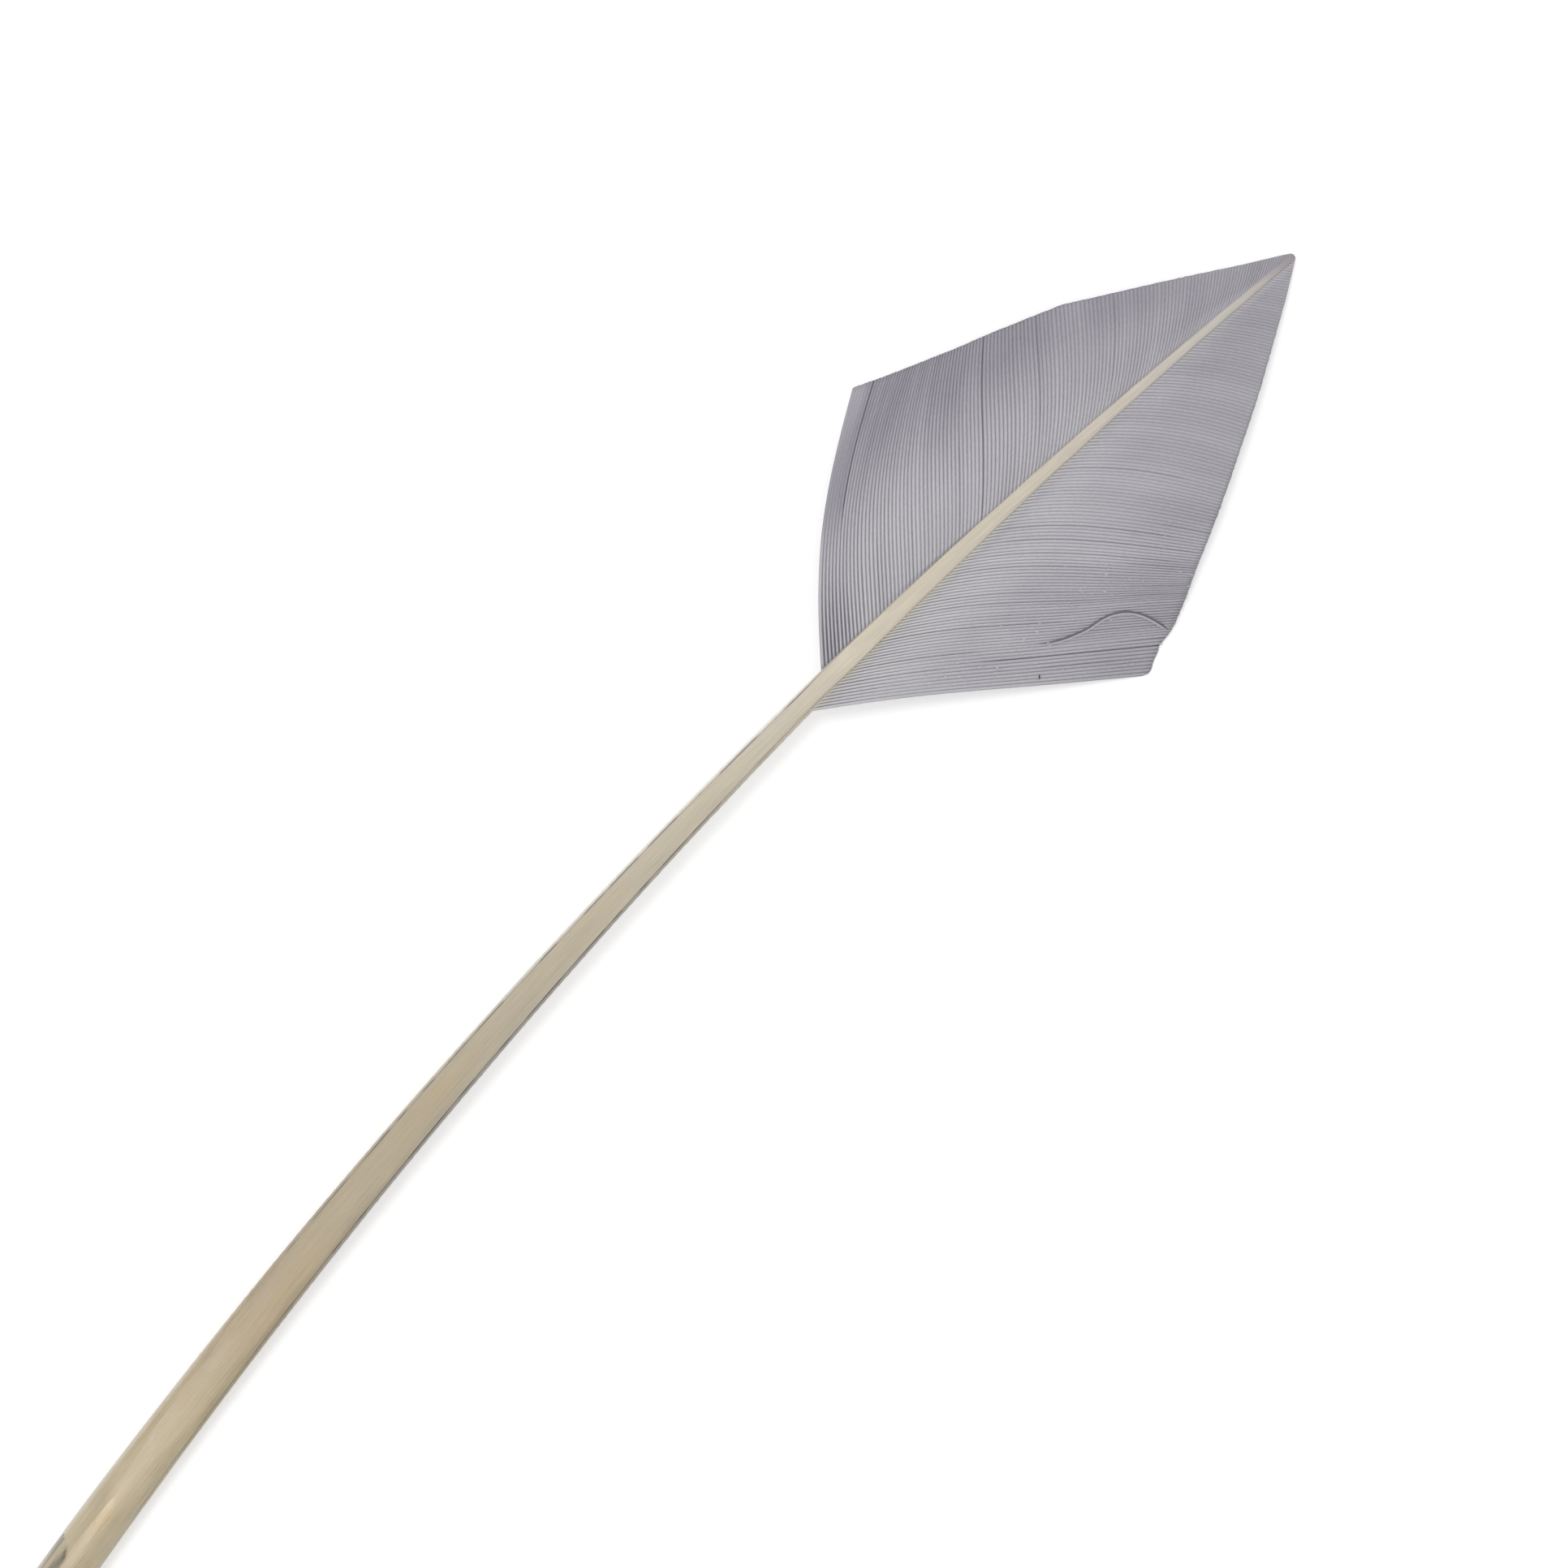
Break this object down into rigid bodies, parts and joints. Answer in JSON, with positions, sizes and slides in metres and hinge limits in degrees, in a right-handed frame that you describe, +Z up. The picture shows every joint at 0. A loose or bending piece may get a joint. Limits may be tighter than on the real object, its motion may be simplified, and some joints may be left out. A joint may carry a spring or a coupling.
{
  "type": "turkey quill feather",
  "caption": "Stripped wing quill feather that lies flat: a long bare shaft that tapers and bows gently, with grey vanes trimmed to an arrowhead at the tip.",
  "frame": {"origin": "on the surface that the feather lies on, in the middle of the flat under the quill's blunt end", "axes": "+X from the quill's blunt end towards the tip; +Y towards the left vane, seen from above with the tip away; +Z up, out of the feather's upper side"},
  "size_m": [0.295, 0.0563, 0.0086],
  "materials": {
    "quill": "satin horn, cream to beige, with fine lengthwise streaks",
    "vane": "silver-grey dyed barbs, matt with a faint sheen along them"
  },
  "bodies": {
    "root": {"feather": "quill"}
  },
  "joints": []
}
